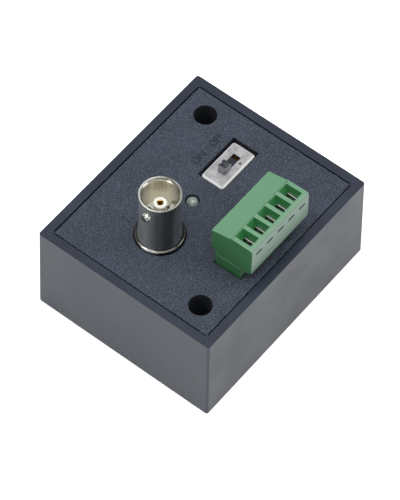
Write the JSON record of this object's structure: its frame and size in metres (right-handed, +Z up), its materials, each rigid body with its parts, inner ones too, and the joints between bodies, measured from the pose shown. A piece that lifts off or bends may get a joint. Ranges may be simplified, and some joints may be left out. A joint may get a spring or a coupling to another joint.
{
  "type": "active video balun",
  "caption": "Small moulded box with a coaxial bayonet jack, a lamp, a slide switch and a pluggable wire terminal on its lid, and two through holes for fixing screws.",
  "frame": {"origin": "middle of the flat base, on the surface that the box stands on", "axes": "+X along the wire terminal, +Y from the terminal towards the jack and the switch, +Z up out of the lid"},
  "size_m": [0.057, 0.0486, 0.0419],
  "materials": {
    "case_plastic": "moulded, faintly satin dark blue-grey",
    "lid_plastic": "fine spark-eroded grain, dark blue-grey",
    "board_laminate": "solder mask over glass laminate",
    "nickel": "bright nickel plate",
    "white_insulator": "turned white plastic",
    "gold": "gold plate",
    "lamp_lens": "diffused, clouded resin",
    "tin": "tin plate",
    "zinc_screw": "zinc plate",
    "steel_sheet": "plated sheet",
    "brown_laminate": "paper laminate",
    "black_plastic": "moulded",
    "green_plastic": "moulded, satin",
    "ceramic": "fired ceramic",
    "capacitor_can": "drawn can",
    "ferrite": "sintered, wound with enamelled wire"
  },
  "bodies": {
    "case": {"case_shell": "case_plastic", "lid": "lid_plastic", "circuit_board": "board_laminate", "jack_barrel": "nickel", "jack_insulator": "white_insulator", "jack_socket": "gold", "lamp_lens": "lamp_lens", "lamp_leads": "tin", "switch_frame": "steel_sheet", "switch_base_board": "brown_laminate", "switch_terminals": "tin", "terminal_header": "green_plastic", "header_pin_1": "tin", "header_pin_2": "tin", "header_pin_3": "tin", "header_pin_4": "tin", "header_pin_5": "tin", "amplifier_chip": "black_plastic", "voltage_regulator": "black_plastic", "supply_diode": "black_plastic", "chip_resistors": "black_plastic", "chip_capacitors": "ceramic", "smoothing_capacitor_1": "capacitor_can", "smoothing_capacitor_2": "capacitor_can", "line_choke": "ferrite", "surge_arrester_1": "ceramic", "surge_arrester_2": "ceramic"},
    "switch_knob": {"switch_slider": "black_plastic", "switch_blades": "tin"},
    "plug": {"terminal_plug": "green_plastic", "plug_contact_1": "tin", "plug_contact_2": "tin", "plug_contact_3": "tin", "plug_contact_4": "tin", "plug_contact_5": "tin"},
    "screw_1": {"clamp_screw_1": "zinc_screw"},
    "cage_1": {"clamp_cage_1": "nickel"},
    "screw_2": {"clamp_screw_2": "zinc_screw"},
    "cage_2": {"clamp_cage_2": "nickel"},
    "screw_3": {"clamp_screw_3": "zinc_screw"},
    "cage_3": {"clamp_cage_3": "nickel"},
    "screw_4": {"clamp_screw_4": "zinc_screw"},
    "cage_4": {"clamp_cage_4": "nickel"},
    "screw_5": {"clamp_screw_5": "zinc_screw"},
    "cage_5": {"clamp_cage_5": "nickel"}
  },
  "joints": [
    {"name": "switch_slide", "type": "slide", "parent": "case", "child": "switch_knob", "axis": [1, 0, 0], "range_m": [0, 0.0031]},
    {"name": "plug_pull", "type": "slide", "parent": "case", "child": "plug", "axis": [0, 0, 1], "range_m": [0, 0.0075]},
    {"name": "cage_rise_1", "type": "slide", "parent": "plug", "child": "cage_1", "axis": [0, 1, 0], "range_m": [0, 0.0016]},
    {"name": "screw_turn_1", "type": "hinge", "parent": "plug", "child": "screw_1", "pos_m": [-0.00702, -0.01175, 0.03435], "axis": [0, -1, 0], "range_deg": [0, 1440]},
    {"name": "cage_rise_2", "type": "slide", "parent": "plug", "child": "cage_2", "axis": [0, 1, 0], "range_m": [0, 0.0016]},
    {"name": "screw_turn_2", "type": "hinge", "parent": "plug", "child": "screw_2", "pos_m": [-0.00321, -0.01175, 0.03435], "axis": [0, -1, 0], "range_deg": [0, 1440]},
    {"name": "cage_rise_3", "type": "slide", "parent": "plug", "child": "cage_3", "axis": [0, 1, 0], "range_m": [0, 0.0016]},
    {"name": "screw_turn_3", "type": "hinge", "parent": "plug", "child": "screw_3", "pos_m": [0.0006, -0.01175, 0.03435], "axis": [0, -1, 0], "range_deg": [0, 1440]},
    {"name": "cage_rise_4", "type": "slide", "parent": "plug", "child": "cage_4", "axis": [0, 1, 0], "range_m": [0, 0.0016]},
    {"name": "screw_turn_4", "type": "hinge", "parent": "plug", "child": "screw_4", "pos_m": [0.00441, -0.01175, 0.03435], "axis": [0, -1, 0], "range_deg": [0, 1440]},
    {"name": "cage_rise_5", "type": "slide", "parent": "plug", "child": "cage_5", "axis": [0, 1, 0], "range_m": [0, 0.0016]},
    {"name": "screw_turn_5", "type": "hinge", "parent": "plug", "child": "screw_5", "pos_m": [0.00822, -0.01175, 0.03435], "axis": [0, -1, 0], "range_deg": [0, 1440]}
  ],
  "couplings": [
    {"joint": "screw_turn_1", "follows": "cage_rise_1", "rad_per_m": 15708},
    {"joint": "screw_turn_2", "follows": "cage_rise_2", "rad_per_m": 15708},
    {"joint": "screw_turn_3", "follows": "cage_rise_3", "rad_per_m": 15708},
    {"joint": "screw_turn_4", "follows": "cage_rise_4", "rad_per_m": 15708},
    {"joint": "screw_turn_5", "follows": "cage_rise_5", "rad_per_m": 15708}
  ]
}
